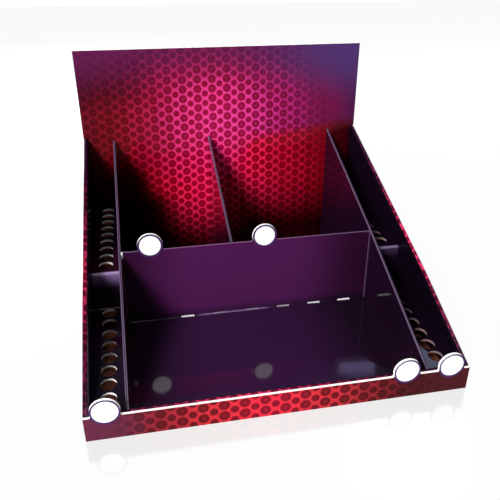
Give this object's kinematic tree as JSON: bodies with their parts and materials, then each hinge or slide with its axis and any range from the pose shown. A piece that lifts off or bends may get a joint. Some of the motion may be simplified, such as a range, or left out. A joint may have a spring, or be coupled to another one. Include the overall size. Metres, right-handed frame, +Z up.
{
  "type": "cardboard counter display stand",
  "caption": "Printed cardboard counter display stand: tray with sloping sides, tall header panel, dividers, front bin and side shelves with rows of holes.",
  "frame": {"origin": "middle of the footprint, on the surface that the stand rests on", "axes": "+X to the right as seen from the front, along the lip; +Y to the back; +Z up"},
  "size_m": [0.4, 0.394, 0.309],
  "materials": {
    "tray_print": "gloss laminated print",
    "header_print": "gloss laminated print",
    "lip_print": "gloss laminated print",
    "dark_print": "gloss laminated print"
  },
  "bodies": {
    "root": {"outer_tray": "tray_print", "header_panel": "header_print", "front_lip": "lip_print", "left_divider": "dark_print", "right_divider": "dark_print", "middle_divider": "dark_print", "front_bin": "dark_print", "left_shelf": "dark_print", "right_shelf": "dark_print"}
  },
  "joints": []
}
